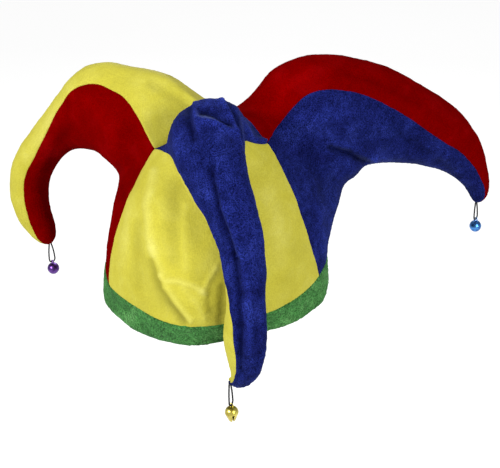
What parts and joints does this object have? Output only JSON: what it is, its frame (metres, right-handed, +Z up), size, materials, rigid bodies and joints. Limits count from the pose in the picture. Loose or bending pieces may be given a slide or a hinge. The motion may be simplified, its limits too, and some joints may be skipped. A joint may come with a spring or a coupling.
{
  "type": "jester hat",
  "caption": "Soft plush jester hat with drooping hollow horns, a plush band round the head opening and a small round bell on a cord loop at each horn's tip.",
  "frame": {"origin": "centre of the head opening, level with the lower edge of the band", "axes": "+Z up when worn, the front horn towards -Y, the right horn of the picture towards +X"},
  "size_m": [0.4357, 0.2763, 0.2471],
  "materials": {
    "red_plush": "short red velour pile, crushed in places",
    "yellow_plush": "short yellow velour pile, soft creases",
    "blue_plush": "short royal blue velour pile, crushed in places",
    "green_plush": "longer green plush pile",
    "black_cord": "black twisted cord",
    "brass_bell": "polished, a little scratched",
    "blue_bell": "metallic blue lacquer",
    "purple_bell": "metallic purple lacquer"
  },
  "bodies": {
    "root": {"panel_front": "yellow_plush", "strip_front": "blue_plush", "panel_right": "blue_plush", "strip_right": "red_plush", "panel_left": "red_plush", "strip_left": "yellow_plush", "band": "green_plush", "cord_front": "black_cord", "bell_front": "brass_bell", "pea_front": "brass_bell", "cord_right": "black_cord", "bell_right": "blue_bell", "pea_right": "blue_bell", "cord_left": "black_cord", "bell_left": "purple_bell", "pea_left": "purple_bell"}
  },
  "joints": []
}
